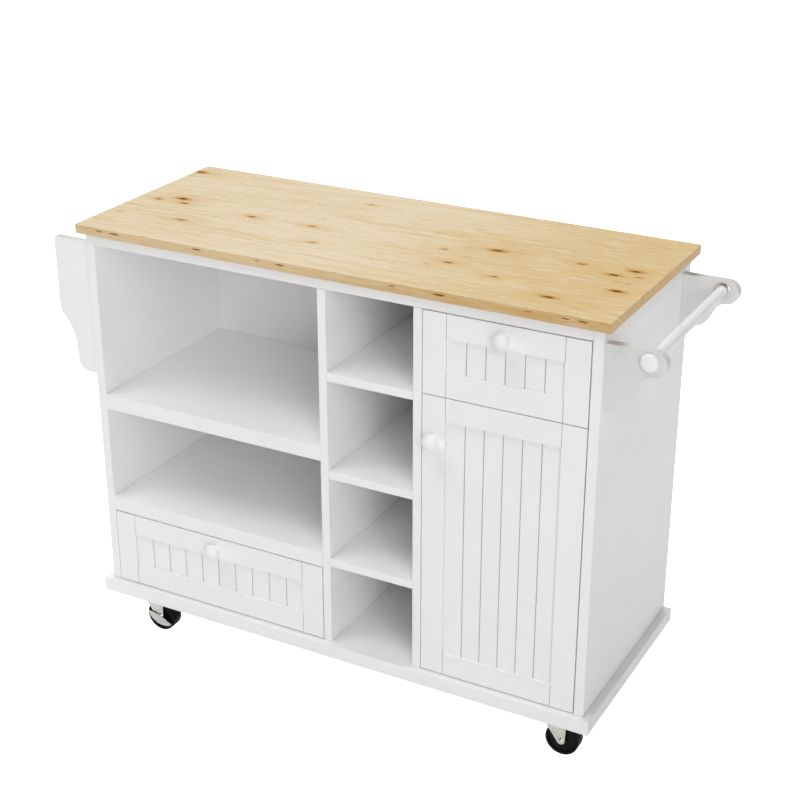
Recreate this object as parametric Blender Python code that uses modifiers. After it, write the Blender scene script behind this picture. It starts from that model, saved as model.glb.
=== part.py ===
"""Kitchen island cart: a white lacquered cabinet on four casters with a knotty wood top.

Metres, +Z up, the front faces -Y, and the origin is on the floor under the middle of the box
around the whole object.
"""

import math

import bmesh
import bpy
from mathutils import Matrix, Vector

# Overall size
HEIGHT = 0.9462
TOP_WIDTH = 1.150
TOP_DEPTH = 0.472
TOP_THICK = 0.020
LEFT_REACH = 0.6513  # cabinet middle to the outer edge of the spice rack
RIGHT_REACH = 0.6708  # cabinet middle to the nose of the towel rack
KNOB_REACH = 0.0198  # front edge of the top to the tip of a knob

MIDDLE = (LEFT_REACH - RIGHT_REACH) / 2
TOP_FRONT = (KNOB_REACH - TOP_DEPTH) / 2
GAP = 0.0003  # between pieces that touch
REVEAL = 0.0022  # shadow gap round the door and the drawer fronts

# Cabinet
CABINET_WIDTH = 1.118
CABINET_FRONT = TOP_FRONT + 0.0105
CABINET_BACK = CABINET_FRONT + 0.455
SIDE_THICK = 0.020
PANEL_THICK = 0.018
TOP_PANEL_THICK = 0.023
THICK_SHELF = 0.033
BACK_FRONT = CABINET_FRONT + 0.4245
BACK_THICK = 0.005
UNDER_TOP = HEIGHT - TOP_THICK - GAP
ROOF = HEIGHT - TOP_THICK - TOP_PANEL_THICK
FLOOR_TOP = 0.1287
FLOOR_BOTTOM = 0.0972
BASE_PROUD = 0.0030  # base board in front of the top
BASE_DEPTH = 0.472
INNER_LEFT = MIDDLE - CABINET_WIDTH / 2 + SIDE_THICK
INNER_RIGHT = MIDDLE + CABINET_WIDTH / 2 - SIDE_THICK
DIVIDER_1 = MIDDLE - 0.0168  # left face of the left divider
DIVIDER_2 = MIDDLE + 0.1880  # left face of the right divider

# Undersides of the shelves above the floor
UPPER_BAY_SHELF = 0.5410
LOWER_BAY_SHELF = 0.3007
CUBBY_SHELVES = {"upper": 0.7162, "middle": 0.5060, "lower": 0.3077}
DRAWER_SHELF = 0.7192

# Fronts
FRONT_THICK = 0.018
STILE = 0.048
RECESS = 0.005  # front of the frame to front of the boarded panel
BOARD_THICK = 0.009
REBATE = 0.006
GROOVE_WIDTH = 0.0026
GROOVE_DEPTH = 0.0020
LIP_GAP = 0.00012  # between the boarded panel and the lip of the frame in front of it
SEAM_WIDTH = 0.0009
SEAM_DEPTH = 0.0012
FRONT_BOTTOM = 0.1312
LEFT_DRAWER_TOP = LOWER_BAY_SHELF - REVEAL
DOOR_TOP = 0.7342
DOOR_KNOB_DOWN = 0.087
RIGHT_DRAWER_BOTTOM = DOOR_TOP + REVEAL
RIGHT_DRAWER_TOP = ROOF - REVEAL

# Drawer boxes
BOX_CLEAR = 0.006
BOX_SIDE = 0.012
BOX_DEPTH = 0.380
BOX_HEIGHT = 0.115
BOX_BOTTOM = 0.005
RUNNER_WIDTH = 0.022
RUNNER_HEIGHT = 0.010

# Knobs: radius against distance from the front they are screwed to
KNOB_PROFILE = (
    (0.0000, 0.0300),
    (0.0060, 0.0292),
    (0.0110, 0.0268),
    (0.0145, 0.0234),
    (0.0163, 0.0195),
    (0.0163, 0.0160),
    (0.0145, 0.0127),
    (0.0110, 0.0100),
    (0.0078, 0.0080),
    (0.0070, 0.0060),
    (0.0080, 0.0020),
    (0.0095, 0.0000),
    (0.0000, 0.0000),
)

# Racks on the two ends
BRACKET_THICK = 0.018
BRACKET_FRONT = TOP_FRONT + 0.023
BRACKET_REAR = TOP_FRONT + 0.422
BRACKET_TOP = HEIGHT - 0.0475
SPICE_TOP = BRACKET_TOP + 0.0025
SPICE_OUT = 0.0920
SPICE_SHELF_THICK = 0.012
RAIL_RADIUS = 0.0050
RAIL_UP = 0.033
SPICE_SHELVES = {"upper": (0.0800, 0.7632), "lower": (0.0500, 0.6212)}  # depth and underside
ROD_OUT = 0.080
ROD_DOWN = 0.020
ROD_RADIUS = 0.0105
NOSE_OUT = 0.0890
NOSE_RADIUS = 0.0235
BUTTON_RADIUS = 0.0172
BUTTON_THICK = 0.0105

# Casters
WHEEL_RADIUS = 0.0350
WHEEL_WIDTH = 0.028
AXLE_RADIUS = 0.0040
AXLE_BORE = 0.00408
TRAIL = 0.0201
CASTER_INSET_X = 0.0916
CASTER_INSET_Y = 0.0628
PLATE_THICK = 0.003
LEG_THICK = 0.0025
LEG_OUT = 0.0162  # wheel middle to the inner face of a fork leg
CROWN_TOP = 0.0882
CROWN_THICK = 0.0030
RACE_RADIUS = 0.0175
HUB_RADIUS = 0.0110
RIM_RADIUS = 0.0290
DISH = 0.0030  # depth of a wheel's dished sides
LEVER_THICK = 0.0022

WHITE = (0.80, 0.80, 0.80)
WOOD = (0.72, 0.52, 0.30)
STEEL = (0.62, 0.60, 0.56)
BLACK = (0.015, 0.015, 0.015)


def clear_scene():
    for obj in list(bpy.data.objects):
        bpy.data.objects.remove(obj)
    for collection in list(bpy.data.collections):
        bpy.data.collections.remove(collection)


def new_collection(name):
    collection = bpy.data.collections.new(name)
    bpy.context.scene.collection.children.link(collection)
    return collection


def material_of(name, colour, roughness, metallic=0.0):
    material = bpy.data.materials.new(name)
    material.use_nodes = True
    shader = material.node_tree.nodes["Principled BSDF"]
    shader.inputs["Base Color"].default_value = (*colour, 1)
    shader.inputs["Roughness"].default_value = roughness
    shader.inputs["Metallic"].default_value = metallic
    return material


def add_mesh(name, mesh, look, bevel=0.0, segments=2):
    obj = bpy.data.objects.new(name, mesh)
    parts.objects.link(obj)
    colour, roughness, metallic = look
    mesh.materials.clear()
    mesh.materials.append(material_of(name, colour, roughness, metallic))
    if bevel:
        modifier = obj.modifiers.new("edges", "BEVEL")
        modifier.width = bevel
        modifier.segments = segments
        modifier.limit_method = "ANGLE"
        modifier.angle_limit = math.radians(40)
    return obj


def box_mesh(name, low, high):
    """A box between two corners."""
    mesh = bpy.data.meshes.new(name)
    shape = bmesh.new()
    bmesh.ops.create_cube(shape, size=1.0)
    size = Vector(high) - Vector(low)
    middle = (Vector(high) + Vector(low)) / 2
    place = Matrix.Translation(middle) @ Matrix.Diagonal((*size, 1))
    bmesh.ops.transform(shape, matrix=place, verts=shape.verts)
    shape.to_mesh(mesh)
    shape.free()
    return mesh


def smooth(points, steps=3):
    """A round line through points: each stretch is a Catmull-Rom curve."""
    ends = [points[0], *points, points[-1]]
    for before, start, end, after in zip(ends, ends[1:], ends[2:], ends[3:]):
        for step in range(steps):
            t = step / steps
            weights = (
                -t / 2 + t**2 - t**3 / 2,
                1 - 2.5 * t**2 + 1.5 * t**3,
                t / 2 + 2 * t**2 - 1.5 * t**3,
                (t**3 - t**2) / 2,
            )
            yield tuple(sum(w * v for w, v in zip(weights, four)) for four in zip(before, start, end, after))
    yield points[-1]


def add_box(name, low, high, look, bevel=0.0008):
    return add_mesh(name, box_mesh(name, low, high), look, bevel, 1)


def shade_round(mesh):
    mesh.shade_smooth()
    mesh.set_sharp_from_angle(angle=math.radians(30))
    return mesh


def cylinder_mesh(name, centre, axis, radius, length, sides=32):
    """A cylinder about a point, along X, Y or Z."""
    mesh = bpy.data.meshes.new(name)
    shape = bmesh.new()
    bmesh.ops.create_cone(shape, cap_ends=True, segments=sides, radius1=radius, radius2=radius, depth=length)
    turn = Matrix()
    if axis != "Z":
        turn = Matrix.Rotation(math.pi / 2, 4, "Y" if axis == "X" else "X")
    bmesh.ops.transform(shape, matrix=Matrix.Translation(centre) @ turn, verts=shape.verts)
    shape.to_mesh(mesh)
    shape.free()
    return shade_round(mesh)


def cutter(mesh):
    obj = bpy.data.objects.new(mesh.name, mesh)
    cutters.objects.link(obj)
    obj.hide_render = True
    obj.display_type = "WIRE"
    return obj


def combine(obj, mesh, operation="DIFFERENCE"):
    """Cuts a mesh from an object or joins it on, ahead of the bevel on its edges."""
    modifier = obj.modifiers.new(mesh.name, "BOOLEAN")
    modifier.operation = operation
    modifier.solver = "EXACT"
    modifier.object = cutter(mesh)
    for index, other in enumerate(obj.modifiers):
        if other.type == "BEVEL":
            obj.modifiers.move(len(obj.modifiers) - 1, index)
            break


def prism_mesh(name, outline, plane, low, high):
    """An outline in the XY, XZ or YZ plane, drawn out between two distances along the third axis."""
    curve = bpy.data.curves.new(name, "CURVE")
    curve.dimensions = "2D"
    curve.fill_mode = "BOTH"
    curve.extrude = (high - low) / 2
    line = curve.splines.new("POLY")
    line.points.add(len(outline) - 1)
    for point, (u, v) in zip(line.points, outline):
        point.co = (u, v, 0, 1)
    line.use_cyclic_u = True
    middle = (low + high) / 2
    turn = {
        "XY": Matrix.Translation((0, 0, middle)),
        "XZ": Matrix(((1, 0, 0, 0), (0, 0, -1, middle), (0, 1, 0, 0), (0, 0, 0, 1))),
        "YZ": Matrix(((0, 0, 1, middle), (1, 0, 0, 0), (0, 1, 0, 0), (0, 0, 0, 1))),
    }
    helper = bpy.data.objects.new(name, curve)
    cutters.objects.link(helper)
    bpy.context.view_layer.update()
    mesh = bpy.data.meshes.new_from_object(helper)
    bpy.data.objects.remove(helper)
    mesh.transform(turn[plane])
    shape = bmesh.new()
    shape.from_mesh(mesh)
    bmesh.ops.remove_doubles(shape, verts=shape.verts, dist=0.00001)
    bmesh.ops.recalc_face_normals(shape, faces=shape.faces)
    shape.to_mesh(mesh)
    shape.free()
    return shade_round(mesh)


def arc(centre, radius, start, end, steps):
    """Points round a centre, angles in degrees."""
    for step in range(steps + 1):
        angle = math.radians(start + (end - start) * step / steps)
        yield centre[0] + radius * math.cos(angle), centre[1] + radius * math.sin(angle)


def add_turned(name, profile, place, look, steps=32):
    """A turned piece: radius and height pairs about Z, outer side from top to bottom, put in its place."""
    mesh = bpy.data.meshes.new(name)
    points = [(radius, 0, height) for radius, height in profile]
    mesh.from_pydata(points, [(i, i + 1) for i in range(len(profile) - 1)], [])
    obj = add_mesh(name, mesh, look)
    obj.matrix_world = place
    screw = obj.modifiers.new("turn", "SCREW")
    screw.steps = steps
    screw.render_steps = steps
    screw.use_merge_vertices = True
    screw.merge_threshold = 0.00001
    screw.use_smooth_shade = True
    screw.use_normal_calculate = True
    return obj


def set_origin(obj, point):
    """Puts an object's origin on the axis that it turns about, leaving its shape in place."""
    obj.data.transform(Matrix.Translation(-Vector(point)))
    obj.matrix_world = Matrix.Translation(Vector(point))


def hang(name, point, names):
    """An empty on a moving part's axis, with the part's pieces as its children."""
    axis = bpy.data.objects.new(name, None)
    axis.empty_display_size = 0.05
    axis.location = point
    parts.objects.link(axis)
    for child in names:
        piece = bpy.data.objects[child]
        piece.parent = axis
        piece.matrix_parent_inverse = Matrix.Translation(-Vector(point))


clear_scene()
parts = new_collection("kitchen_island_cart")
cutters = new_collection("cutters")

PAINT = (WHITE, 0.40, 0.0)
TIMBER = (WOOD, 0.45, 0.0)
METAL = (STEEL, 0.30, 1.0)
RUBBER = (BLACK, 0.55, 0.0)
PLYWOOD = (WHITE, 0.50, 0.0)


def add_cabinet():
    left = MIDDLE - CABINET_WIDTH / 2
    right = MIDDLE + CABINET_WIDTH / 2
    add_box(
        "countertop",
        (MIDDLE - TOP_WIDTH / 2, TOP_FRONT, HEIGHT - TOP_THICK),
        (MIDDLE + TOP_WIDTH / 2, TOP_FRONT + TOP_DEPTH, HEIGHT),
        TIMBER,
        0.0012,
    )
    add_box(
        "base_board",
        (MIDDLE - TOP_WIDTH / 2, TOP_FRONT - BASE_PROUD, FLOOR_BOTTOM),
        (MIDDLE + TOP_WIDTH / 2, TOP_FRONT - BASE_PROUD + BASE_DEPTH, FLOOR_TOP),
        PAINT,
        0.0020,
    )
    low = FLOOR_TOP + GAP
    for name, start, stop in (("left", left, INNER_LEFT), ("right", INNER_RIGHT, right)):
        add_box(f"{name}_side_panel", (start, CABINET_FRONT, low), (stop, CABINET_BACK, UNDER_TOP), PAINT)
    inner_left, inner_right = INNER_LEFT + GAP, INNER_RIGHT - GAP
    add_box("top_panel", (inner_left, CABINET_FRONT, ROOF), (inner_right, CABINET_BACK, UNDER_TOP), PAINT)
    back_low = (inner_left, BACK_FRONT + GAP, low)
    add_box("back_panel", back_low, (inner_right, BACK_FRONT + BACK_THICK, ROOF - GAP), PAINT, 0)
    for name, face in (("left_divider", DIVIDER_1), ("right_divider", DIVIDER_2)):
        add_box(name, (face, CABINET_FRONT, low), (face + PANEL_THICK, BACK_FRONT, ROOF - GAP), PAINT)


def add_shelf(name, left, right, underside, thick, front=CABINET_FRONT):
    """A shelf between two uprights, up against the back panel."""
    add_box(name, (left + GAP, front, underside), (right - GAP, BACK_FRONT, underside + thick), PAINT)


def add_shelves():
    add_shelf("upper_bay_shelf", INNER_LEFT, DIVIDER_1, UPPER_BAY_SHELF, THICK_SHELF)
    add_shelf("lower_bay_shelf", INNER_LEFT, DIVIDER_1, LOWER_BAY_SHELF, THICK_SHELF)
    for name, underside in CUBBY_SHELVES.items():
        add_shelf(f"{name}_cubby_shelf", DIVIDER_1 + PANEL_THICK, DIVIDER_2, underside, PANEL_THICK)
    behind_fronts = CABINET_FRONT + FRONT_THICK + 0.0010
    add_shelf("drawer_shelf", DIVIDER_2 + PANEL_THICK, INNER_RIGHT, DRAWER_SHELF, PANEL_THICK, behind_fronts)


def add_front(name, left, right, bottom, top, boards):
    """A framed front: a rebated frame, seams between its rails and stiles, and a panel of grooved boards."""
    low, high = (left, CABINET_FRONT, bottom), (right, CABINET_FRONT + FRONT_THICK, top)
    frame = add_box(f"{name}_frame", low, high, PAINT, 0.0006)
    inner_left, inner_right = left + STILE, right - STILE
    inner_bottom, inner_top = bottom + STILE, top - STILE
    panel_front = CABINET_FRONT + RECESS
    combine(
        frame,
        box_mesh(
            f"{name}_opening",
            (inner_left, CABINET_FRONT - 0.01, inner_bottom),
            (inner_right, CABINET_FRONT + 0.03, inner_top),
        ),
    )
    combine(
        frame,
        box_mesh(
            f"{name}_rebate",
            (inner_left - REBATE, panel_front, inner_bottom - REBATE),
            (inner_right + REBATE, CABINET_FRONT + 0.03, inner_top + REBATE),
        ),
    )
    for side, x in (("left", inner_left), ("right", inner_right)):
        for end, start, stop in (("bottom", bottom - 0.01, inner_bottom), ("top", inner_top, top + 0.01)):
            seam = box_mesh(
                f"{name}_{side}_{end}_seam",
                (x - SEAM_WIDTH / 2, CABINET_FRONT - 0.01, start - 0.0001),
                (x + SEAM_WIDTH / 2, CABINET_FRONT + SEAM_DEPTH, stop + 0.0001),
            )
            combine(frame, seam)
    spread = inner_right - inner_left
    face = panel_front + LIP_GAP
    outline = [(inner_left - REBATE + GAP, face)]
    for board in range(1, boards):
        x = inner_left + spread * board / boards
        outline.append((x - GROOVE_WIDTH / 2, face))
        outline.append((x, face + GROOVE_DEPTH))
        outline.append((x + GROOVE_WIDTH / 2, face))
    outline.append((inner_right + REBATE - GAP, face))
    outline.append((inner_right + REBATE - GAP, panel_front + BOARD_THICK))
    outline.append((inner_left - REBATE + GAP, panel_front + BOARD_THICK))
    low, high = inner_bottom - REBATE + GAP, inner_top + REBATE - GAP
    add_mesh(f"{name}_panel", prism_mesh(f"{name}_panel", outline, "XY", low, high), PAINT)
    return frame


def add_knob(name, x, z):
    """A turned knob standing out from a front."""
    place = Matrix.Translation((x, CABINET_FRONT - GAP, z)) @ Matrix.Rotation(math.pi / 2, 4, "X")
    add_turned(name, KNOB_PROFILE, place, PAINT, 28)


def add_drawer(name, left, right, rest, front_bottom, front_top, boards):
    """A drawer: a framed front on a box of two sides, a back and a bottom, over a runner in the middle."""
    add_front(name, left + REVEAL, right - REVEAL, front_bottom, front_top, boards)
    middle = (left + right) / 2
    add_knob(f"{name}_knob", middle, front_top - STILE / 2)
    front = CABINET_FRONT + FRONT_THICK + GAP
    back = front + BOX_DEPTH
    low = rest + RUNNER_HEIGHT + 0.003
    high = low + BOX_HEIGHT
    outer_left, outer_right = left + BOX_CLEAR, right - BOX_CLEAR
    add_box(f"{name}_left_side", (outer_left, front, low), (outer_left + BOX_SIDE, back, high), PLYWOOD)
    add_box(f"{name}_right_side", (outer_right - BOX_SIDE, front, low), (outer_right, back, high), PLYWOOD)
    inside_left, inside_right = outer_left + BOX_SIDE + GAP, outer_right - BOX_SIDE - GAP
    back_low = low + BOX_BOTTOM + GAP
    add_box(f"{name}_back", (inside_left, back - BOX_SIDE, back_low), (inside_right, back, high), PLYWOOD)
    add_box(f"{name}_bottom", (inside_left, front, low), (inside_right, back, low + BOX_BOTTOM), PLYWOOD, 0)
    half = RUNNER_WIDTH / 2
    add_box(
        f"{name}_runner",
        (middle - half, front + 0.010, rest + GAP),
        (middle + half, BACK_FRONT - 0.001, rest + RUNNER_HEIGHT),
        METAL,
    )
    pieces = ("frame", "panel", "knob", "left_side", "right_side", "back", "bottom")
    hang(f"{name}_slide", (middle, CABINET_FRONT, low), [f"{name}_{piece}" for piece in pieces])


def add_door():
    """The door, on two concealed hinges, turning about an upright axis at its front right edge."""
    left, right = DIVIDER_2 + PANEL_THICK + REVEAL, INNER_RIGHT - REVEAL
    frame = add_front("door", left, right, FRONT_BOTTOM, DOOR_TOP, 6)
    add_knob("door_knob", left + STILE / 2, DOOR_TOP - DOOR_KNOB_DOWN)
    back = CABINET_FRONT + FRONT_THICK
    for name, z in (("lower", FRONT_BOTTOM + 0.090), ("upper", DOOR_TOP - 0.090)):
        cup_x = right - 0.0215
        hole = cylinder_mesh(f"{name}_hinge_hole", (cup_x, back, z), "Y", 0.0178, 0.0240, 40)
        combine(frame, hole)
        place = Matrix.Translation((cup_x, back - 0.0118, z)) @ Matrix.Rotation(-math.pi / 2, 4, "X")
        profile = (
            (0.0130, 0.0128),
            (0.0200, 0.0128),
            (0.0200, 0.0121),
            (0.0174, 0.0120),
            (0.0174, 0.0000),
            (0.0000, 0.0000),
            (0.0000, 0.0015),
            (0.0130, 0.0015),
            (0.0130, 0.0128),
        )
        add_turned(f"{name}_hinge_cup", profile, place, METAL, 32)
        add_hinge_arm(f"{name}_hinge_arm", z)
    axis = (right + REVEAL / 2, CABINET_FRONT, (FRONT_BOTTOM + DOOR_TOP) / 2)
    pieces = ("door_frame", "door_panel", "door_knob", "lower_hinge_cup", "upper_hinge_cup")
    hang("door_hinge_axis", axis, pieces)


def add_hinge_arm(name, z):
    """The fixed half of a concealed hinge: a plate on the side panel with its arm reaching to the cup."""
    inner = INNER_RIGHT - GAP
    back = CABINET_FRONT + FRONT_THICK
    near = back + 0.0035
    half = 0.0075
    low, high = (inner - 0.003, back + 0.012, z - 0.024), (inner, back + 0.062, z + 0.024)
    plate = add_box(name, low, high, METAL, 0)
    low, high = (inner - 0.014, near, z - half), (inner - 0.002, back + 0.060, z + half)
    combine(plate, box_mesh(f"{name}_arm", low, high), "UNION")
    low, high = (inner - 0.030, near, z - half + 0.0005), (inner - 0.010, near + 0.008, z + half - 0.0005)
    combine(plate, box_mesh(f"{name}_reach", low, high), "UNION")


def spice_outline():
    """The outline of a spice rack bracket: distance out from the cabinet's left end, and height."""
    foot = (0.0310, 0.6362)
    width = 0.0240
    yield (0.0, foot[1] - width)
    yield (0.0, SPICE_TOP)
    yield (SPICE_OUT - 0.0020, SPICE_TOP)
    yield (SPICE_OUT, SPICE_TOP - 0.0020)
    drop = (
        (SPICE_OUT, 0.7499),
        (0.0885, 0.7379),
        (0.0760, 0.7212),
        (0.0640, 0.7018),
        (0.0568, 0.6788),
        (foot[0] + width, 0.6390),
    )
    yield from smooth(drop)
    yield from arc(foot, width, 0, -90, 8)


def towel_outline():
    """The outline of a towel rack bracket: distance out from the cabinet's right end, and height."""
    top = BRACKET_TOP
    yield (0.0, top)
    curve = (
        (0.0, 0.1300),
        (0.0115, 0.1255),
        (0.0215, 0.1115),
        (0.0295, 0.1022),
        (0.0400, 0.0988),
        (0.0512, 0.0892),
        (0.0592, 0.0745),
        (0.0685, 0.0583),
        (0.0800, 0.0488),
    )
    for out, down in smooth(curve):
        yield out, top - down
    yield from arc((NOSE_OUT - 0.001, top - NOSE_RADIUS), NOSE_RADIUS, -90, 90, 18)


def add_bracket(name, outline, front):
    plank = prism_mesh(name, outline, "XZ", front, front + BRACKET_THICK)
    return add_mesh(name, plank, PAINT, 0.0008, 1)


def add_spice_rack():
    """Two shaped brackets on the left end, with two shelves and two rails between them."""
    end = MIDDLE - CABINET_WIDTH / 2 - GAP
    outline = [(end - out, z) for out, z in spice_outline()]
    for name, front in (("spice_front_bracket", BRACKET_FRONT), ("spice_rear_bracket", BRACKET_REAR)):
        add_bracket(name, outline, front)
    front = BRACKET_FRONT + BRACKET_THICK + GAP
    back = BRACKET_REAR - GAP
    for name, (depth, underside) in SPICE_SHELVES.items():
        shelf_top = underside + SPICE_SHELF_THICK
        add_box(f"spice_{name}_shelf", (end - depth, front, underside), (end, back, shelf_top), PAINT)
        middle = (end - depth + 0.006, (front + back) / 2, shelf_top + RAIL_UP)
        rail = cylinder_mesh(f"spice_{name}_rail", middle, "Y", RAIL_RADIUS, back - front, 20)
        add_mesh(f"spice_{name}_rail", rail, PAINT)


def add_towel_rack():
    """Two shaped brackets on the right end, and a rod through the front one with a round button."""
    end = MIDDLE + CABINET_WIDTH / 2 + GAP
    outline = [(end + out, z) for out, z in towel_outline()]
    centre_x = end + ROD_OUT
    centre_z = BRACKET_TOP - ROD_DOWN
    rod_end = BRACKET_REAR + 0.010
    for name, front in (("towel_front_bracket", BRACKET_FRONT), ("towel_rear_bracket", BRACKET_REAR)):
        bracket = add_bracket(name, outline, front)
        if front == BRACKET_FRONT:
            middle, length = front + BRACKET_THICK / 2, 0.040
        else:
            middle, length = front, 0.0206
        hole = cylinder_mesh(f"{name}_hole", (centre_x, middle, centre_z), "Y", ROD_RADIUS + GAP, length, 32)
        combine(bracket, hole)
    front = BRACKET_FRONT - GAP
    profile = (
        (0.0000, BUTTON_THICK),
        (0.0080, BUTTON_THICK - 0.0003),
        (0.0130, BUTTON_THICK - 0.0015),
        (0.0160, BUTTON_THICK - 0.0038),
        (BUTTON_RADIUS, BUTTON_THICK - 0.0070),
        (BUTTON_RADIUS - 0.0010, 0.0),
        (ROD_RADIUS, 0.0),
        (ROD_RADIUS, front - rod_end),
        (0.0000, front - rod_end),
    )
    place = Matrix.Translation((centre_x, front, centre_z)) @ Matrix.Rotation(math.pi / 2, 4, "X")
    add_turned("towel_rod", profile, place, PAINT, 32)


def leg_outline(x, axle_x):
    """The side of a caster fork's leg, in X and Z: wide at the crown, with a round tip about the axle."""
    yield (x - 0.0245, CROWN_TOP + 0.01)
    yield (x - 0.0245, CROWN_TOP - 0.0060)
    yield from arc((axle_x, WHEEL_RADIUS), 0.0085, 215, 355, 9)
    yield (x + 0.0308, CROWN_TOP - 0.0060)
    yield (x + 0.0308, CROWN_TOP + 0.01)


def add_fork(name, x, y):
    """A swivel fork: a folded channel cut to the shape of its legs, a race on top, and the axle bolt."""
    axle_x = x + TRAIL
    inner, outer = LEG_OUT, LEG_OUT + LEG_THICK
    channel = (
        (y - outer, 0.010),
        (y - outer, CROWN_TOP),
        (y + outer, CROWN_TOP),
        (y + outer, 0.010),
        (y + inner, 0.010),
        (y + inner, CROWN_TOP - CROWN_THICK),
        (y - inner, CROWN_TOP - CROWN_THICK),
        (y - inner, 0.010),
    )
    fork = add_mesh(name, prism_mesh(name, channel, "YZ", x - 0.030, x + 0.040), METAL, 0)
    outline = list(leg_outline(x, axle_x))
    combine(fork, prism_mesh(f"{name}_sides", outline, "XZ", y - outer - 0.01, y + outer + 0.01), "INTERSECT")
    race = cylinder_mesh(f"{name}_race", (x, y, CROWN_TOP + 0.0019), "Z", RACE_RADIUS, 0.0068, 32)
    combine(fork, race, "UNION")
    axle = cylinder_mesh(f"{name}_axle", (axle_x, y, WHEEL_RADIUS), "Y", AXLE_RADIUS, 2 * outer + 0.0080, 32)
    combine(fork, axle, "UNION")
    set_origin(fork, (x, y, CROWN_TOP))


def add_wheel(name, x, y):
    """A wheel: a square tread, dished sides, and a hub bored for the axle bolt."""
    half = WHEEL_WIDTH / 2
    hub = half + 0.0015
    side = (
        (AXLE_BORE, hub),
        (HUB_RADIUS, hub),
        (HUB_RADIUS + 0.0010, half - DISH),
        (RIM_RADIUS - 0.0010, half - DISH),
        (RIM_RADIUS, half),
        (WHEEL_RADIUS - 0.0010, half),
        (WHEEL_RADIUS - 0.0003, half - 0.0003),
        (WHEEL_RADIUS, half - 0.0010),
    )
    profile = [*side, *((radius, -across) for radius, across in reversed(side)), side[0]]
    place = Matrix.Translation((x + TRAIL, y, WHEEL_RADIUS)) @ Matrix.Rotation(math.pi / 2, 4, "X")
    add_turned(name, profile, place, RUBBER, 48)


def add_plate(name, x, y):
    """The plate that holds a caster to the base board, bored at its corners for four screws."""
    top = FLOOR_BOTTOM - GAP
    plate = add_box(name, (x - 0.031, y - 0.0235, top - PLATE_THICK), (x + 0.031, y + 0.0235, top), METAL, 0)
    for number, (across, along) in enumerate(((-1, -1), (1, -1), (1, 1), (-1, 1))):
        middle = (x + 0.0245 * across, y + 0.0165 * along, FLOOR_BOTTOM)
        combine(plate, cylinder_mesh(f"{name}_hole_{number}", middle, "Z", 0.0026, 0.02, 16))


def brake_outline(axle):
    """A leaf over the axle, pointed at both ends, in X and Z: its pedal end is up on the left."""
    upper = ((-0.0285, 0.0112), (-0.0122, 0.0083), (0.0039, 0.0046), (0.0174, -0.0026), (0.0320, -0.0105))
    lower = ((0.0320, -0.0105), (0.0234, -0.0164), (0.0060, -0.0182), (-0.0100, -0.0136), (-0.0245, -0.0022))
    for across, up in [*smooth(upper, 4), *smooth(lower, 4)][1:]:
        yield axle[0] + across, axle[1] + up
    yield axle[0] - 0.0285, axle[1] + 0.0112


def add_brake(name, x, y):
    """A brake lever: a stamped leaf outside the near leg, turning on the axle bolt."""
    axle = (x + TRAIL, WHEEL_RADIUS)
    near = y - LEG_OUT - LEG_THICK - 0.0006
    outline = list(brake_outline(axle))
    lever = add_mesh(name, prism_mesh(name, outline, "XZ", near - LEVER_THICK, near), METAL, 0)
    middle = (axle[0], near - LEVER_THICK / 2, axle[1])
    combine(lever, cylinder_mesh(f"{name}_boss", middle, "Y", 0.0075, LEVER_THICK, 28), "UNION")
    combine(lever, cylinder_mesh(f"{name}_bore", middle, "Y", AXLE_BORE, 0.02, 48))
    set_origin(lever, (axle[0], near, axle[1]))


def add_casters():
    left, right = MIDDLE - TOP_WIDTH / 2 + CASTER_INSET_X, MIDDLE + TOP_WIDTH / 2 - CASTER_INSET_X
    front = TOP_FRONT - BASE_PROUD + CASTER_INSET_Y
    rear = TOP_FRONT - BASE_PROUD + BASE_DEPTH - CASTER_INSET_Y
    spots = {
        "front_left": (left, front),
        "front_right": (right, front),
        "rear_left": (left, rear),
        "rear_right": (right, rear),
    }
    for spot, (x, y) in spots.items():
        add_plate(f"{spot}_caster_plate", x, y)
        add_fork(f"{spot}_caster_fork", x, y)
        add_wheel(f"{spot}_caster_wheel", x, y)
        if spot.endswith("left"):
            add_brake(f"{spot}_brake_lever", x, y)


add_cabinet()
add_shelves()
add_drawer("left_drawer", INNER_LEFT, DIVIDER_1, FLOOR_TOP, FRONT_BOTTOM, LEFT_DRAWER_TOP, 10)
add_drawer(
    "right_drawer",
    DIVIDER_2 + PANEL_THICK,
    INNER_RIGHT,
    DRAWER_SHELF + PANEL_THICK,
    RIGHT_DRAWER_BOTTOM,
    RIGHT_DRAWER_TOP,
    6,
)
add_door()
add_spice_rack()
add_towel_rack()
add_casters()
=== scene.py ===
"""The looks of the kitchen island cart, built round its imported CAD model.

Metres, +Z up, the front faces -Y. Every CAD piece keeps its shape and gets a material made of
nodes. Small pieces that the CAD leaves out, such as screws, ride on its bodies.
"""

import math

import bmesh
import bpy
from mathutils import Matrix, Vector


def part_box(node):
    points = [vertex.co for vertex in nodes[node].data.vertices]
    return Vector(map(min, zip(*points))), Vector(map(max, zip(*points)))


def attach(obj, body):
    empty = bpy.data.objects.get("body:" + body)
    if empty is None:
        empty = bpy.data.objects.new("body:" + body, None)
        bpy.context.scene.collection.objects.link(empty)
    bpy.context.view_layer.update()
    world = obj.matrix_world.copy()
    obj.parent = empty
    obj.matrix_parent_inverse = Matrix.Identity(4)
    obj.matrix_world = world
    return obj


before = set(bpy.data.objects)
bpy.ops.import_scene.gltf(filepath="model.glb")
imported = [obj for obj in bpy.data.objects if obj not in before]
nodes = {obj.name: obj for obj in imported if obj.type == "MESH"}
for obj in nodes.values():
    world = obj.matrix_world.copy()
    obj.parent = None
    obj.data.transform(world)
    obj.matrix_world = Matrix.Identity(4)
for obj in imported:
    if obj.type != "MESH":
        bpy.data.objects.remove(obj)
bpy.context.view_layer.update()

scene = bpy.context.scene
scene.view_settings.view_transform = "Standard"

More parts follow.
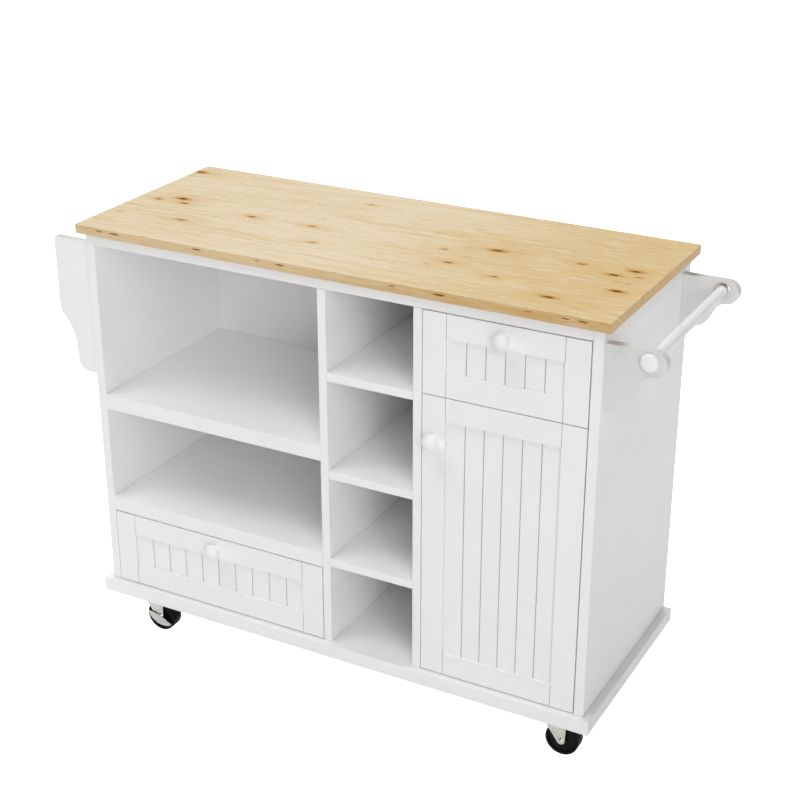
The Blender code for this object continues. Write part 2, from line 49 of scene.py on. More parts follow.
# Camera
CAMERA_PLACE = (1.4474, -2.6293, 1.9509)
CAMERA_TILT = 65.651
CAMERA_TURN = 28.237
LENS = 72.2

# Light: each soft lamp's direction from the front, positive to the right, its height and its
# strength; the sky's and the floor's strengths as lights; and the floor's own glow where it is
# seen, bright enough to hide every shadow on it
WORLD_STRENGTH = 0.06
FLOOR_GLOW = 0.06
FLOOR_SHOWN = 1.00
LAMP_SOFTNESS = 30
LAMPS = {
    "key_front": (-20, 65, 0.42),
    "key_left": (-50, 65, 0.82),
    "fill_right_low": (40, 15, 0.86),
    "fill_right": (40, 40, 0.52),
    "back_left": (-150, 55, 1.20),
}

# Colours of the wood, from its lightest grain to the hearts of its knots; the pale tone also paints a sheen
# over the left of the top, and the last two tints are painted shade on the sides and the right end of the
# top
CREAM = (0.965, 0.865, 0.670)
PALE = (0.940, 0.805, 0.585)
HONEY = (0.830, 0.630, 0.340)
AMBER = (0.760, 0.500, 0.180)
BROWN = (0.600, 0.360, 0.120)
RUST = (0.600, 0.270, 0.025)
UMBER = (0.420, 0.220, 0.055)
BARK = (0.110, 0.026, 0.002)
DASH = (0.240, 0.090, 0.014)
EDGE_SHADE_TINT = (0.790, 0.710, 0.580)
END_SHADE_TINT = (0.920, 0.880, 0.860)

# Fronts: the grooves between boards, the seams between stiles and rails, the width of a stile, and the
# greys of the painted shade in the grooves and in the seams
GROOVE_DEPTH = 0.0020
SEAM_DEPTH = 0.0012
STILE = 0.048
GROOVE_SHADE_GREY = (0.580, 0.580, 0.590)
SEAM_SHADE_GREY = (0.300, 0.300, 0.310)

# Boards of the open bays and the cubbies, whose paint is whiter behind their front edges as painted light
# that brightens their insides
INSIDE = (
    "left_side_panel", "left_divider", "upper_bay_shelf", "lower_bay_shelf",
    "upper_cubby_shelf", "middle_cubby_shelf", "lower_cubby_shelf", "right_divider",
)
INSIDE_PAINTED_LIGHT = (0.965, 0.963, 0.965)

# Casters: the holes of a plate from its middle, the crown under the plate, and the axle bolt
CASTERS = ("front_left", "front_right", "rear_left", "rear_right")
PLATE_HOLE_X = 0.0245
PLATE_HOLE_Y = 0.0165
CROWN_DROP = 0.0087
AXLE_RADIUS = 0.0040
LEG_OUTER = 0.0187
BRAKE_LEVER_OUT = 0.0032

# Hinges: width, length and thickness of a cup's wings, and the arm's faces from the side panel
HINGE_PLATE_THICK = 0.003
HINGE_ARM_OUT = 0.014
WING_OUT = 0.0245
WING_SIZE = (0.0110, 0.0120, 0.0010)

# The door's catch: its place behind the door, and the sizes of its parts
CATCH_IN = 0.070
CATCH_BEHIND = 0.0022
CATCH_SIZE = (0.046, 0.0130, 0.0120)
POLE_SIZE = (0.030, 0.0016, 0.0012)
STRIKE_SIZE = (0.038, 0.0110, 0.0010)

# Screw heads
PLATE_SCREW = {"radius": 0.0045, "height": 0.0020}
KNOB_SCREW = {"radius": 0.0048, "height": 0.0024}
WING_SCREW = {"radius": 0.0036, "height": 0.0014}
HINGE_PLATE_SCREW = {"radius": 0.0038, "height": 0.0018}
HINGE_ARM_SCREW = {"radius": 0.0032, "height": 0.0012}
STRIKE_SCREW = {"radius": 0.0026, "height": 0.0005}

# Shelves that the back panel is nailed to: first nail from the left, spacing and number
NAILED_SHELVES = (
    ("upper_bay_shelf", 0.05, 0.105, 5),
    ("lower_bay_shelf", 0.05, 0.105, 5),
    ("drawer_shelf", 0.06, 0.10, 3),
)
TOUCH = 0.0002  # between an added piece and the surface that it lies on

# Which CAD pieces are turned or bent, which are a drawer's inner boards, and which are metal
ROUND = ("knob", "rod", "rail", "bracket", "wheel", "fork", "lever", "cup")
BOARDS = ("drawer_back", "drawer_bottom", "drawer_left_side", "drawer_right_side")
METAL_PARTS = ("fork", "plate", "lever", "cup", "arm", "runner")

# Angle in degrees over which an edge stays sharp: on turned or bent CAD pieces, on the flat ones
# and on the added pieces
ROUND_SHARP = 32
FLAT_SHARP = 50
PIECE_SHARP = 30


def add_camera():
    data = bpy.data.cameras.new("camera")
    data.lens = LENS
    data.sensor_width = 36
    data.clip_start = 0.05
    data.clip_end = 200
    camera = bpy.data.objects.new("camera", data)
    camera.location = CAMERA_PLACE
    camera.rotation_euler = (math.radians(CAMERA_TILT), 0, math.radians(CAMERA_TURN))
    scene.collection.objects.link(camera)
    scene.camera = camera


def add_lamp(name, around, height, strength):
    """A sun wide enough to cast soft shadows."""
    turn, lift = math.radians(around), math.radians(height)
    towards = Vector((math.sin(turn) * math.cos(lift), -math.cos(turn) * math.cos(lift), math.sin(lift)))
    data = bpy.data.lights.new(name, "SUN")
    data.angle = math.radians(LAMP_SOFTNESS)
    data.energy = strength
    lamp = bpy.data.objects.new(name, data)
    lamp.rotation_euler = (-towards).to_track_quat("-Z", "Y").to_euler()
    scene.collection.objects.link(lamp)


def add_glow(tree, socket, as_light, shown):
    """Sets a strength that is weaker as a light than as a backdrop."""
    seen = tree.nodes.new("ShaderNodeLightPath")
    strength = tree.nodes.new("ShaderNodeMapRange")
    strength.inputs["To Min"].default_value = as_light
    strength.inputs["To Max"].default_value = shown
    tree.links.new(seen.outputs["Is Camera Ray"], strength.inputs["Value"])
    tree.links.new(strength.outputs["Result"], socket)


def add_world():
    """A pale sky: bright behind the object, and weak as a light."""
    world = bpy.data.worlds.new("studio")
    world.use_nodes = True
    tree = world.node_tree
    background = tree.nodes["Background"]
    background.inputs["Color"].default_value = (1, 1, 1, 1)
    add_glow(tree, background.inputs["Strength"], WORLD_STRENGTH, 1.0)
    scene.world = world


def add_floor():
    mesh = bpy.data.meshes.new("floor")
    shape = bmesh.new()
    bmesh.ops.create_grid(shape, x_segments=1, y_segments=1, size=40)
    shape.to_mesh(mesh)
    shape.free()
    floor = bpy.data.objects.new("floor", mesh)
    scene.collection.objects.link(floor)
    material = bpy.data.materials.new("floor")
    material.use_nodes = True
    tree = material.node_tree
    shader = tree.nodes["Principled BSDF"]
    shader.inputs["Base Color"].default_value = (0.9, 0.9, 0.9, 1)
    shader.inputs["Roughness"].default_value = 0.9
    shader.inputs["Emission Color"].default_value = (1, 1, 1, 1)
    add_glow(tree, shader.inputs["Emission Strength"], FLOOR_GLOW, FLOOR_SHOWN)
    mesh.materials.append(material)


class Nodes:
    """A material's node tree, with short ways to add to it."""

    def __init__(self, name, colour, roughness, metallic=0.0):
        self.material = bpy.data.materials.new(name)
        self.material.use_nodes = True
        self.tree = self.material.node_tree
        self.shader = self.tree.nodes["Principled BSDF"]
        self.shader.inputs["Base Color"].default_value = (*colour, 1)
        self.shader.inputs["Roughness"].default_value = roughness
        self.shader.inputs["Metallic"].default_value = metallic
        place = self.tree.nodes.new("ShaderNodeTexCoord")
        self.place = place.outputs["Object"]

    def put(self, value, socket):
        if hasattr(value, "is_linked"):
            self.tree.links.new(value, socket)
        elif isinstance(value, (tuple, list)) and len(value) == 3 and socket.type == "RGBA":
            socket.default_value = (*value, 1)
        else:
            socket.default_value = value

    def maths(self, operation, *values, clamp=False):
        node = self.tree.nodes.new("ShaderNodeMath")
        node.operation = operation
        node.use_clamp = clamp
        for value, socket in zip(values, node.inputs):
            self.put(value, socket)
        return node.outputs[0]

    def vector(self, operation, *values, out=0):
        node = self.tree.nodes.new("ShaderNodeVectorMath")
        node.operation = operation
        for value, socket in zip(values, node.inputs):
            self.put(value, socket)
        return node.outputs[out]

    def parts(self, vector):
        node = self.tree.nodes.new("ShaderNodeSeparateXYZ")
        self.put(vector, node.inputs[0])
        return node.outputs["X"], node.outputs["Y"], node.outputs["Z"]

    def join(self, x, y, z):
        node = self.tree.nodes.new("ShaderNodeCombineXYZ")
        for value, socket in zip((x, y, z), node.inputs):
            self.put(value, socket)
        return node.outputs[0]

    def noise(self, stretch=(1, 1, 1), scale=1.0, detail=2.0, rough=0.5, shift=(0, 0, 0), place=None):
        where = self.vector("MULTIPLY_ADD", place or self.place, tuple(scale * s for s in stretch), shift)
        node = self.tree.nodes.new("ShaderNodeTexNoise")
        node.inputs["Scale"].default_value = 1.0
        node.inputs["Detail"].default_value = detail
        node.inputs["Roughness"].default_value = rough
        self.put(where, node.inputs["Vector"])
        return node.outputs["Fac"]

    def span(self, value, low, high, to_low=0.0, to_high=1.0, smooth=False):
        node = self.tree.nodes.new("ShaderNodeMapRange")
        node.interpolation_type = "SMOOTHSTEP" if smooth else "LINEAR"
        self.put(value, node.inputs["Value"])
        ends = {"From Min": low, "From Max": high, "To Min": to_low, "To Max": to_high}
        for name, number in ends.items():
            self.put(number, node.inputs[name])
        return node.outputs["Result"]

    def blend(self, share, first, second, how="MIX"):
        node = self.tree.nodes.new("ShaderNodeMix")
        node.data_type = "RGBA"
        node.blend_type = how
        node.clamp_factor = True
        self.put(share, node.inputs[0])
        self.put(first, node.inputs[6])
        self.put(second, node.inputs[7])
        return node.outputs[2]

    def bump(self, height, distance, strength=1.0):
        node = self.tree.nodes.new("ShaderNodeBump")
        node.inputs["Strength"].default_value = strength
        node.inputs["Distance"].default_value = distance
        self.put(height, node.inputs["Height"])
        self.put(node.outputs["Normal"], self.shader.inputs["Normal"])

    def set(self, **sockets):
        for name, value in sockets.items():
            self.put(value, self.shader.inputs[name.replace("_", " ")])


def white_paint(name="white_paint", dark=(0.905, 0.905, 0.912), light=(0.925, 0.922, 0.926), gloss=0.39):
    """Sprayed white lacquer: a faint mottle in colour and gloss, and a fine orange peel."""
    look = Nodes(name, light, gloss)
    mottle = look.noise(scale=7.0, detail=3.0)
    colour = look.blend(look.span(mottle, 0.35, 0.65), dark, light)
    shine = look.span(look.noise(scale=45.0, detail=3.0), 0.3, 0.7, gloss - 0.05, gloss + 0.05)
    peel = look.noise(scale=520.0, detail=2.0)
    look.set(Base_Color=colour, Roughness=shine)
    look.bump(peel, 0.00006, 0.5)
    look.colour = colour
    return look


def below_face(look, face, depth):
    """One between a front's face and a depth behind it, and none elsewhere."""
    y = look.parts(look.place)[1]
    behind = look.span(y, face + 0.0003, face + 0.0006)
    before = look.span(y, face + depth + 0.0004, face + depth + 0.0002)
    return look.maths("MULTIPLY", behind, before)


def grooved_paint(node):
    """The lacquer of a boarded panel, with painted shade in the grooves between its boards."""
    look = white_paint(f"{node.name}_paint")
    face = min(corner[1] for corner in node.bound_box)
    # Painted shade: the groove walls below the face are turned grey
    look.set(Base_Color=look.blend(below_face(look, face, GROOVE_DEPTH), look.colour, GROOVE_SHADE_GREY))
    return look.material


def seamed_paint(node):
    """The lacquer of a frame, with painted shade in the seams between its stiles and its rails."""
    look = white_paint(f"{node.name}_paint")
    face = min(corner[1] for corner in node.bound_box)
    left = min(corner[0] for corner in node.bound_box) + STILE
    right = max(corner[0] for corner in node.bound_box) - STILE
    x = look.parts(look.place)[0]
    seams = 0.0
    for seam in (left, right):
        aside = look.maths("ABSOLUTE", look.maths("SUBTRACT", x, seam))
        seams = look.maths("MAXIMUM", seams, look.span(aside, 0.0008, 0.0006))
    # Painted shade: the seam walls below the face are turned grey
    thin = look.maths("MULTIPLY", seams, below_face(look, face, SEAM_DEPTH))
    look.set(Base_Color=look.blend(thin, look.colour, SEAM_SHADE_GREY))
    return look.material


def inside_paint(node):
    """The lacquer of a board inside the cabinet, whiter behind its front edge as painted light."""
    look = white_paint(f"{node.name}_paint")
    face = min(corner[1] for corner in node.bound_box)
    behind = look.span(look.parts(look.place)[1], face + 0.0002, face + 0.0006)
    # Painted light: the board behind its front edge is whitened to brighten the inside
    look.set(Base_Color=look.blend(behind, look.colour, INSIDE_PAINTED_LIGHT))
    return look.material


def zinc_steel():
    """Bright zinc plate on stamped steel: soft patches, fine scratches along the metal."""
    look = Nodes("zinc_steel", (0.62, 0.60, 0.56), 0.30, 1.0)
    patch = look.noise(scale=90.0, detail=3.0)
    scratch = look.noise((1, 1, 9), 260.0, detail=2.0)
    colour = look.blend(look.span(patch, 0.3, 0.7), (0.66, 0.64, 0.60), (0.80, 0.78, 0.74))
    soft = look.span(patch, 0.3, 0.7, 0.16, 0.26)
    shine = look.maths("ADD", soft, look.span(scratch, 0.4, 0.8, 0.0, 0.12))
    look.set(Base_Color=colour, Roughness=shine)
    look.bump(scratch, 0.00005, 0.5)
    return look.material


def black_tyre():
    """Moulded black plastic: near black, with a fine pebble and scuffed patches."""
    look = Nodes("black_tyre", (0.006, 0.006, 0.006), 0.32)
    look.shader.inputs["Specular IOR Level"].default_value = 0.14
    scuff = look.noise(scale=70.0, detail=4.0, rough=0.6)
    pebble = look.noise(scale=900.0, detail=2.0)
    colour = look.blend(look.span(scuff, 0.45, 0.75), (0.003, 0.003, 0.003), (0.010, 0.009, 0.009))
    look.set(Base_Color=colour, Roughness=look.span(scuff, 0.35, 0.7, 0.22, 0.42))
    look.bump(pebble, 0.00008, 0.5)
    return look.material


# Knots of the top: place along X and Y, length and darkness
KNOTS = (
    (-0.535, -0.010, 0.008, 0.80),
    (-0.490, 0.015, 0.013, 1.00),
    (-0.470, -0.010, 0.008, 0.90),
    (-0.555, -0.115, 0.006, 0.45),
    (-0.410, -0.105, 0.012, 0.60),
    (-0.295, -0.020, 0.009, 0.80),
    (-0.155, -0.015, 0.007, 0.70),
    (-0.105, -0.100, 0.008, 0.55),
    (0.140, -0.015, 0.008, 0.55),
    (0.180, -0.080, 0.008, 0.90),
    (0.235, 0.025, 0.014, 0.90),
    (0.290, -0.110, 0.006, 0.80),
    (0.420, -0.160, 0.013, 1.00),
    (0.405, 0.030, 0.008, 0.90),
    (0.480, 0.002, 0.011, 1.00),
    (0.510, 0.038, 0.013, 0.85),
    (0.500, -0.030, 0.005, 0.45),
    (0.520, -0.032, 0.005, 0.45),
    (0.150, -0.105, 0.006, 0.40),
    (0.525, 0.010, 0.006, 0.75),
    (0.515, -0.075, 0.012, 1.00),
    (-0.120, 0.165, 0.010, 0.30),
    (-0.570, 0.195, 0.014, 0.80),
)
# Dark marks along the front edge of the top, from the left: place and length
EDGE_MARKS = (
    (-0.525, 0.009),
    (-0.487, 0.014),
    (-0.290, 0.013),
    (-0.150, 0.008),
    (-0.100, 0.012),
    (0.140, 0.009),
    (0.235, 0.015),
    (0.410, 0.008),
    (0.480, 0.010),
    (0.512, 0.013),
)
EDGE_MARK_DOWN = 0.007
EDGE_MARK_THIN = 7.0
KNOT_STRETCH = 0.42


def flow_round_knots(look, place):
    """The wood's cross coordinate, pushed aside by each knot, and the knots' cores, rims and halos."""
    flat = look.vector("MULTIPLY", place, (KNOT_STRETCH, 1.0, 0.0))
    y = look.parts(flat)[1]
    across = y
    core = rim = halo = 0.0
    for knot_x, knot_y, size, dark in KNOTS:
        gap = look.vector("DISTANCE", flat, (knot_x * KNOT_STRETCH, knot_y, 0.0), out=1)
        push = look.span(gap, 0.0, 3.2 * size, 0.75, 0.0, smooth=True)
        aside = look.maths("MULTIPLY", look.maths("SUBTRACT", y, knot_y), push)
        across = look.maths("SUBTRACT", across, aside)
        core = look.maths("MAXIMUM", core, look.span(gap, size * 0.22, size * 0.38, dark, 0.0, smooth=True))
        rim = look.maths("MAXIMUM", rim, look.span(gap, size * 0.30, size * 1.00, dark, 0.0, smooth=True))
        halo = look.maths("MAXIMUM", halo, look.span(gap, 0.0, size * 3.6, dark, 0.0, smooth=True))
    return across, core, rim, halo


def edge_marks(look, x, y, z):
    """The knots' ends on the front edge: short dark dashes near its top."""
    sway = look.span(look.noise((110, 110, 300), detail=3.0, rough=0.7), 0.3, 0.7, -0.0055, 0.0055)
    flat = look.join(x, look.maths("MULTIPLY_ADD", z, EDGE_MARK_THIN, sway), 0.0)
    marks = 0.0
    for mark_x, length in EDGE_MARKS:
        middle = (mark_x, (TOP_HEIGHT - EDGE_MARK_DOWN) * EDGE_MARK_THIN, 0.0)
        gap = look.vector("DISTANCE", flat, middle, out=1)
        mark = look.span(gap, length * 0.60, length * 1.05, 1.0, 0.0, smooth=True)
        marks = look.maths("MAXIMUM", marks, mark)
    on_edge = look.span(y, TOP_FRONT + 0.0016, TOP_FRONT + 0.0008)
    return look.maths("MULTIPLY", marks, on_edge)


def knotty_wood():
    """Pale knotty wood under clear satin: fine grain along X that flows round brown knots."""
    look = Nodes("knotty_wood", (0.62, 0.44, 0.21), 0.42)
    look.shader.inputs["Specular IOR Level"].default_value = 0.05
    ragged = look.noise((170, 430, 430), detail=3.0, rough=0.75)
    shiver = look.span(ragged, 0.0, 1.0, -0.0090, 0.0090)
    x, y, z = look.parts(look.place)
    shaken = look.join(look.maths("MULTIPLY", shiver, 2.0), shiver, 0.0)
    rough_place = look.vector("ADD", look.place, shaken)
    across, core, rim, halo = flow_round_knots(look, rough_place)
    wander = look.noise((1.6, 4.5, 4.5), detail=2.0)
    across = look.maths("ADD", across, look.span(wander, 0.3, 0.7, -0.016, 0.016))
    grain = look.join(x, across, look.maths("MULTIPLY", z, 0.8))

    broad = look.noise((0.9, 8, 8), detail=2.0, place=grain)
    band = look.noise((3.0, 75, 75), detail=3.0, rough=0.6, place=grain, shift=(3.1, 0, 0))
    line = look.noise((13, 230, 230), detail=3.0, rough=0.65, place=grain, shift=(0, 5.7, 0))
    fibre = look.noise((30, 900, 900), detail=2.0, rough=0.7, place=grain)
    pore = look.noise((32, 420, 420), detail=2.0, rough=0.6, place=grain, shift=(7.7, 2.3, 0))
    ring_place = look.maths("MULTIPLY_ADD", across, 420.0, look.span(broad, 0.0, 1.0, 0.0, 30.0))
    ring = look.maths("SINE", ring_place)

    # Painted sheen, partly the wood's own tone: the top pales from honey on the right towards the left
    sheen_drift = look.maths("ADD", x, look.span(broad, 0.0, 1.0, -0.30, 0.30))
    colour = look.blend(look.span(sheen_drift, 0.40, -0.10, smooth=True), HONEY, PALE)
    colour = look.blend(look.span(band, 0.46, 0.72, 0.0, 0.45, smooth=True), colour, AMBER)
    figure = look.span(look.noise((1.2, 5, 5), detail=1.0, place=grain, shift=(9.0, 0, 0)), 0.45, 0.62)
    rings = look.maths("MULTIPLY", look.span(ring, 0.55, 1.0, 0.0, 0.55, smooth=True), figure)
    colour = look.blend(rings, colour, AMBER)
    colour = look.blend(look.span(line, 0.49, 0.34, 0.0, 0.60), colour, CREAM)
    colour = look.blend(look.span(line, 0.54, 0.70, 0.0, 0.40), colour, BROWN)
    colour = look.blend(look.span(fibre, 0.45, 0.80, 0.0, 0.22), colour, BROWN)
    dash = look.span(pore, 0.63, 0.73)
    colour = look.blend(look.maths("MULTIPLY", dash, 0.50), colour, UMBER)

    colour = look.blend(look.maths("MULTIPLY", halo, 0.55), colour, AMBER)
    stain = look.maths("MULTIPLY", rim, look.span(line, 0.30, 0.60, 0.55, 1.0))
    colour = look.blend(stain, colour, RUST)
    colour = look.blend(core, colour, BARK)
    # Painted shade: the sides of the top are darkened below its top face, its right end less than the
    # others
    on_side = look.span(z, TOP_HEIGHT - 0.0006, TOP_HEIGHT - 0.0016)
    on_end = look.span(x, TOP_RIGHT - 0.0010, TOP_RIGHT - 0.0004)
    painted_side_shade = look.blend(on_end, EDGE_SHADE_TINT, END_SHADE_TINT)
    colour = look.blend(on_side, colour, painted_side_shade, "MULTIPLY")
    colour = look.blend(edge_marks(look, x, y, z), colour, DASH)

    shine = look.maths("ADD", look.span(line, 0.3, 0.7, 0.38, 0.46), look.maths("MULTIPLY", dash, 0.12))
    hair = look.noise((26, 900, 900), detail=2.0, rough=0.7, shift=(1.3, 0, 0))
    look.set(Base_Color=colour, Roughness=shine)
    look.bump(hair, 0.00012, 0.4)
    return look.material


def mesh_piece(name, shape, material, body):
    """A new piece from a bmesh: shaded smooth but for its sharp edges, riding on a body."""
    mesh = bpy.data.meshes.new(name)
    bmesh.ops.recalc_face_normals(shape, faces=shape.faces)
    shape.to_mesh(mesh)
    shape.free()
    mesh.materials.append(material)
    mesh.shade_smooth()
    mesh.set_sharp_from_angle(angle=math.radians(PIECE_SHARP))
    piece = bpy.data.objects.new(name, mesh)
    scene.collection.objects.link(piece)
    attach(piece, body)
    return piece


def facing(point, direction):
    """A place at a point whose +Z looks along a direction."""
    turn = Vector(direction).to_track_quat("Z", "Y").to_matrix().to_4x4()
    return Matrix.Translation(point) @ turn


def turned(shape, profile, place, sides=24):
    """Adds a turned solid: radius and height pairs from its top middle down its outer side."""
    angles = [2 * math.pi * side / sides for side in range(sides)]
    rings = []
    for radius, height in profile:
        if radius == 0:
            rings.append([shape.verts.new(place @ Vector((0, 0, height)))] * sides)
            continue
        spots = [Vector((radius * math.cos(angle), radius * math.sin(angle), height)) for angle in angles]
        rings.append([shape.verts.new(place @ spot) for spot in spots])
    for upper, lower in zip(rings, rings[1:]):
        for side in range(sides):
            corners = [upper[side], lower[side], lower[(side + 1) % sides], upper[(side + 1) % sides]]
            shape.faces.new(list(dict.fromkeys(corners)))


def join_rings(shape, lower, upper):
    """Faces between two rings of the same number of points."""
    count = len(lower)
    for side in range(count):
        following = (side + 1) % count
        shape.faces.new([lower[side], lower[following], upper[following], upper[side]])


def pan_screw(shape, point, direction, radius=0.0040, height=0.0022):
    """Adds a pan head with a cross recess, standing on a surface."""
    place = facing(point, direction)
    bit = radius * 0.17
    arm = radius * 0.58
    deep = height * 0.45
    cross = [(bit, arm), (bit, bit), (arm, bit), (arm, -bit), (bit, -bit), (bit, -arm)]
    cross += [(-u, -v) for u, v in cross]
    top = [shape.verts.new(place @ Vector((u, v, height))) for u, v in cross]
    floor = [shape.verts.new(place @ Vector((u * 0.7, v * 0.7, height - deep))) for u, v in cross]
    join_rings(shape, top, floor)
    shape.faces.new(floor)
    rim = []
    for out, up in ((0.80, 1.0), (0.95, 0.72), (1.0, 0.35), (1.0, 0.0)):
        ring = []
        for u, v in cross:
            angle = math.atan2(v, u)
            spot = Vector((radius * out * math.cos(angle), radius * out * math.sin(angle), height * up))
            ring.append(shape.verts.new(place @ spot))
        rim.append(ring)
    for inner, outer in zip([top, *rim], rim):
        join_rings(shape, outer, inner)
    shape.faces.new(rim[-1])


def screws(name, spots, direction, body, **size):
    """One piece of several screw heads, riding on a body."""
    shape = bmesh.new()
    for spot in spots:
        pan_screw(shape, spot, direction, **size)
    mesh_piece(name, shape, METAL, body)


def hex_nut(shape, point, direction, across, height, bore):
    """Adds a hexagon nut, chamfered on its outer face."""
    place = facing(point, direction)
    corner = across / math.sqrt(3)
    sides = 24
    rings = []
    foot = (("bore", 0.0), ("hex", 0.0), ("hex", height * 0.8))
    for kind, up in (*foot, ("chamfer", height), ("bore", height)):
        ring = []
        for side in range(sides):
            angle = 2 * math.pi * side / sides
            within = (angle + math.pi / 6) % (math.pi / 3) - math.pi / 6
            reach = {"bore": bore, "hex": across / 2 / math.cos(within), "chamfer": across / 2 * 0.97}[kind]
            reach = min(reach, corner)
            spot = Vector((reach * math.cos(angle), reach * math.sin(angle), up))
            ring.append(shape.verts.new(place @ spot))
        rings.append(ring)
    for lower, upper in zip(rings, rings[1:] + rings[:1]):
        join_rings(shape, lower, upper)


def rounded_plate(shape, place, width, length, thick, radius, steps=6):
    """Adds a plate with round corners, lying on its place's XY plane and rising along its Z."""
    outline = []
    for across, along, start in ((1, 1, 0), (-1, 1, 90), (-1, -1, 180), (1, -1, 270)):
        for step in range(steps + 1):
            angle = math.radians(start + 90 * step / steps)
            u = across * (width / 2 - radius) + radius * math.cos(angle)
            v = along * (length / 2 - radius) + radius * math.sin(angle)
            outline.append((u, v))
    edge = min(thick * 0.3, 0.0006)
    levels = ((0.0, 0.0), (thick - edge, 0.0), (thick, edge))
    rings = []
    for up, inset in levels:
        squeeze_u, squeeze_v = 1 - 2 * inset / width, 1 - 2 * inset / length
        spots = [Vector((u * squeeze_u, v * squeeze_v, up)) for u, v in outline]
        rings.append([shape.verts.new(place @ spot) for spot in spots])
    for lower, upper in zip(rings, rings[1:]):
        join_rings(shape, lower, upper)
    shape.faces.new(rings[-1])
    shape.faces.new(rings[0][::-1])


def middle_of(name):
    low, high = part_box(name)
    return (Vector(low) + Vector(high)) / 2


def dress_caster(spot):
    """The screws of a caster's plate, the nut of its kingpin, and the heads of its axle bolt."""
    plate_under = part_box(f"{spot}_caster_plate")[0][2]
    plate = middle_of(f"{spot}_caster_plate")
    spots = []
    for across in (-1, 1):
        for along in (-1, 1):
            spots.append((plate.x + across * PLATE_HOLE_X, plate.y + along * PLATE_HOLE_Y, plate_under))
    screws(f"{spot}_plate_screws", spots, (0, 0, -1), "cabinet", **PLATE_SCREW)

    wheel = middle_of(f"{spot}_caster_wheel")
    crown_under = plate_under - CROWN_DROP
    swivel = f"{spot}_caster_swivel"
    shape = bmesh.new()
    hex_nut(shape, (plate.x, plate.y, crown_under), (0, 0, -1), 0.013, 0.0050, 0.0035)
    pin = ((0, 0.0068), (0.0028, 0.0065), (0.0034, 0.0058), (0.0034, 0.0), (0, 0.0))
    turned(shape, pin, facing((plate.x, plate.y, crown_under), (0, 0, -1)), 16)
    mesh_piece(f"{spot}_kingpin_nut", shape, METAL, swivel)

    shape = bmesh.new()
    near = LEG_OUTER + (BRAKE_LEVER_OUT if spot.endswith("left") else TOUCH)
    head = ((0, 0.0014), (0.0026, 0.0012), (0.0040, 0.0006), (0.0043, 0.0), (0, 0.0))
    turned(shape, head, facing((wheel.x, wheel.y - near, wheel.z), (0, -1, 0)))
    far = (wheel.x, wheel.y + LEG_OUTER + TOUCH, wheel.z)
    hex_nut(shape, far, (0, 1, 0), 0.011, 0.0036, AXLE_RADIUS)
    mesh_piece(f"{spot}_axle_ends", shape, METAL, swivel)


def dress_knob(front):
    """The screw that holds a knob, on the back of the front, whose body has the same name."""
    knob = middle_of(f"{front}_knob")
    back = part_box(f"{front}_frame")[1][1]
    spot = (knob.x, back, knob.z)
    screws(f"{front}_knob_screw", [spot], (0, 1, 0), front, **KNOB_SCREW)


def dress_hinge(name):
    """A concealed hinge's screws and the wings of its cup."""
    cup = middle_of(f"{name}_hinge_cup")
    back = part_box("door_frame")[1][1]
    shape = bmesh.new()
    for side in (-1, 1):
        spot = (cup.x, back + TOUCH, cup.z + side * WING_OUT)
        rounded_plate(shape, facing(spot, (0, 1, 0)), *WING_SIZE, 0.0040)
        pan_screw(shape, (spot[0], back + TOUCH + WING_SIZE[2], spot[2]), (0, 1, 0), **WING_SCREW)
    mesh_piece(f"{name}_hinge_cup_wings", shape, METAL, "door")
    arm_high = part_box(f"{name}_hinge_arm")[1]
    plate_face = arm_high[0] - HINGE_PLATE_THICK
    arm = middle_of(f"{name}_hinge_arm")
    spots = [(plate_face, arm_high[1] - 0.025, arm.z + side * 0.0165) for side in (-1, 1)]
    screws(f"{name}_hinge_plate_screws", spots, (-1, 0, 0), "cabinet", **HINGE_PLATE_SCREW)
    arm_face = arm_high[0] - HINGE_ARM_OUT
    spots = [(arm_face, arm_high[1] - 0.012, arm.z), (arm_face, arm_high[1] - 0.034, arm.z)]
    screws(f"{name}_hinge_arm_screws", spots, (-1, 0, 0), "cabinet", **HINGE_ARM_SCREW)


def add_catch():
    """A magnetic catch under the drawer shelf, and its striking plate on the door."""
    door_low, door_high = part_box("door_frame")
    shelf_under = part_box("drawer_shelf")[0][2]
    x = door_low[0] + CATCH_IN
    front = door_high[1] + CATCH_BEHIND
    top = shelf_under - TOUCH
    shape = bmesh.new()
    place = Matrix.Translation((x, front + 0.0080, top)) @ Matrix.Rotation(math.pi, 4, "X")
    rounded_plate(shape, place, *CATCH_SIZE, 0.0030)
    mesh_piece("door_catch", shape, BOARD, "cabinet")
    shape = bmesh.new()
    for up in (0.0040, 0.0085):
        pole = facing((x, front + 0.0016, top - up), (0, -1, 0))
        rounded_plate(shape, pole, *POLE_SIZE, 0.0006, 2)
    mesh_piece("door_catch_poles", shape, METAL, "cabinet")
    shape = bmesh.new()
    strike = (x, door_high[1] + TOUCH, top - 0.0065)
    rounded_plate(shape, facing(strike, (0, 1, 0)), *STRIKE_SIZE, 0.0030)
    pan_screw(shape, (x, door_high[1] + 0.0010, top - 0.0065), (0, 1, 0), **STRIKE_SCREW)
    mesh_piece("door_striking_plate", shape, METAL, "door")


def add_back_nails():
    """Flat nails that hold the thin back panel to the dividers and shelves."""
    panel_low, panel_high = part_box("back_panel")
    face = panel_high[1]
    spots = []
    for name in ("left_divider", "right_divider"):
        x = middle_of(name).x
        spots += [(x, face, panel_low[2] + 0.05 + 0.10 * step) for step in range(8)]
    for name, first, apart, count in NAILED_SHELVES:
        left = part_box(name)[0][0]
        z = middle_of(name).z
        spots += [(left + first + apart * step, face, z) for step in range(count)]
    shape = bmesh.new()
    for spot in spots:
        head = ((0, 0.0007), (0.0022, 0.0006), (0.0027, 0.0002), (0.0027, 0.0), (0, 0.0))
        turned(shape, head, facing(spot, (0, 1, 0)), 12)
    mesh_piece("back_panel_nails", shape, METAL, "cabinet")


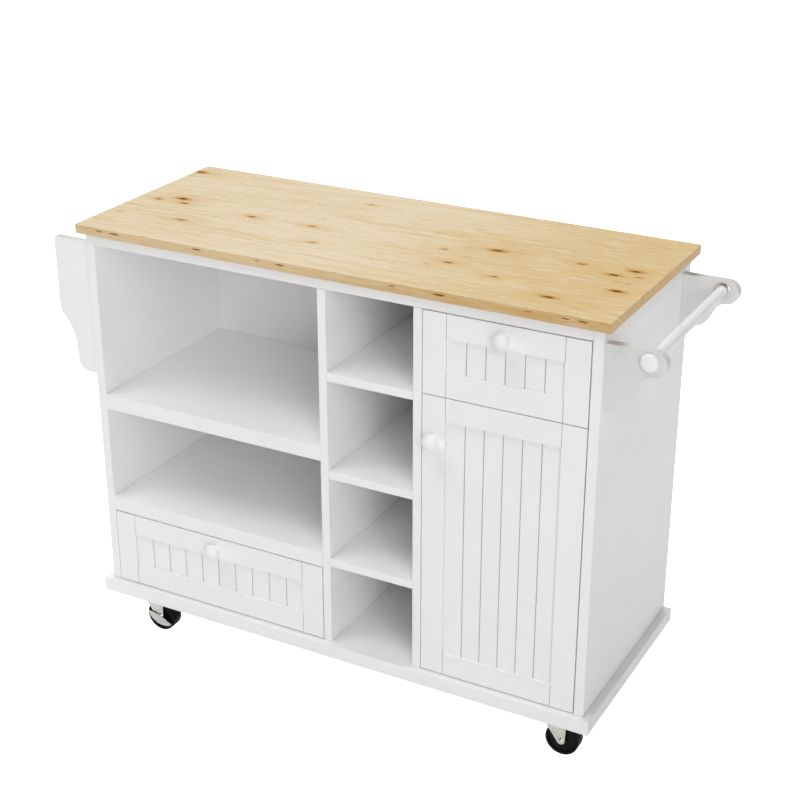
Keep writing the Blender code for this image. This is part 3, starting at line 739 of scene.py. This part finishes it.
def add_rod_collar():
    """The ring at the rear end of the towel rod, against the rear bracket."""
    rod = middle_of("towel_rod")
    bracket_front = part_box("towel_rear_bracket")[0][1]
    outside = ((0.0110, 0.0050), (0.0140, 0.0048), (0.0158, 0.0036), (0.0160, 0.0020), (0.0160, 0.0))
    inside = ((0.0110, 0.0), (0.0110, 0.0050))
    shape = bmesh.new()
    turned(shape, (*outside, *inside), facing((rod.x, bracket_front - TOUCH, rod.z), (0, -1, 0)), 32)
    mesh_piece("towel_rod_collar", shape, METAL, "cabinet")


def finish_cad(node, material, split):
    """Gives a CAD piece its material, and shades its round faces smooth."""
    node.data.materials.clear()
    node.data.materials.append(material)
    for face in node.data.polygons:
        face.use_smooth = True
    weld = node.modifiers.new("weld", "WELD")
    weld.merge_threshold = 0.00001
    parting = node.modifiers.new("sharp edges", "EDGE_SPLIT")
    parting.split_angle = math.radians(split)
    parting.use_edge_sharp = False
    if split == FLAT_SHARP:
        node.modifiers.new("even shading", "WEIGHTED_NORMAL").weight = 100


add_camera()
add_world()
add_floor()
for name, (around, height, strength) in LAMPS.items():
    add_lamp(name, around, height, strength)

top_low, top_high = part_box("countertop")
TOP_FRONT = top_low[1]
TOP_RIGHT = top_high[0]
TOP_HEIGHT = top_high[2]
PAINT = white_paint().material
# Painted shade: the towel brackets get a darker copy of the white paint
SHADED_BRACKET_PAINT = white_paint("bracket_paint", (0.725, 0.722, 0.720), (0.740, 0.737, 0.733), 0.42).material
BOARD = white_paint("drawer_board", (0.80, 0.80, 0.80), (0.84, 0.84, 0.83), 0.50).material
METAL = zinc_steel()
TYRE = black_tyre()
WOOD = knotty_wood()
for name, node in nodes.items():
    material = PAINT
    if name == "countertop":
        material = WOOD
    elif name.endswith("wheel"):
        material = TYRE
    elif name.endswith(METAL_PARTS):
        material = METAL
    elif name.endswith(BOARDS):
        material = BOARD
    elif name.startswith("towel") and name.endswith("bracket"):
        material = SHADED_BRACKET_PAINT
    elif name in ("door_panel", "left_drawer_panel", "right_drawer_panel"):
        material = grooved_paint(node)
    elif name in ("door_frame", "left_drawer_frame", "right_drawer_frame"):
        material = seamed_paint(node)
    elif name in INSIDE:
        material = inside_paint(node)
    finish_cad(node, material, ROUND_SHARP if name.endswith(ROUND) else FLAT_SHARP)
for spot in CASTERS:
    dress_caster(spot)
for front in ("left_drawer", "right_drawer", "door"):
    dress_knob(front)
for name in ("lower", "upper"):
    dress_hinge(name)
add_catch()
add_back_nails()
add_rod_collar()
